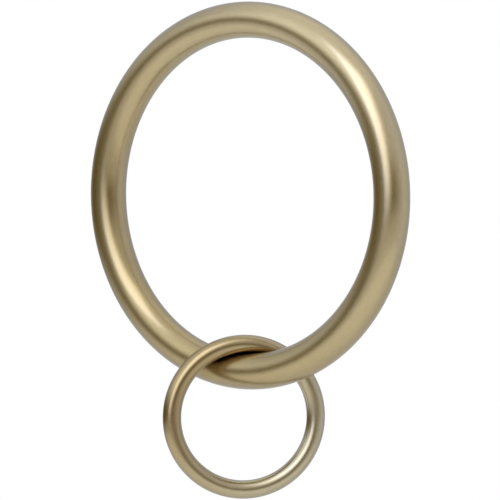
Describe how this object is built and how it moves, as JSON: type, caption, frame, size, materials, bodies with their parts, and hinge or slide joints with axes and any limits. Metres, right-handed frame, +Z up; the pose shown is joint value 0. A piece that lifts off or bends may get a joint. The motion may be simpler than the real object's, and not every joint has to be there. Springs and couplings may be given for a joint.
{
  "type": "eyelet curtain ring",
  "caption": "Round-bar curtain ring with a smaller wire eyelet linked through it, hung on a curtain rod to carry a curtain hook.",
  "frame": {"origin": "centre of the large ring, on the line of the curtain rod", "axes": "+Y along the rod's line through the large ring, +X level in the ring's plane, +Z up, with the eyelet hanging below"},
  "size_m": [0.0528, 0.0168, 0.0678],
  "materials": {
    "satin_brass_plate": "satin"
  },
  "bodies": {
    "ring": {"curtain_ring": "satin_brass_plate"},
    "eyelet": {"eyelet_ring": "satin_brass_plate"}
  },
  "joints": [
    {"name": "eyelet_swing", "type": "hinge", "parent": "ring", "child": "eyelet", "pos_m": [0, 0, -0.02395], "axis": [1, 0, 0], "continuous": true}
  ]
}
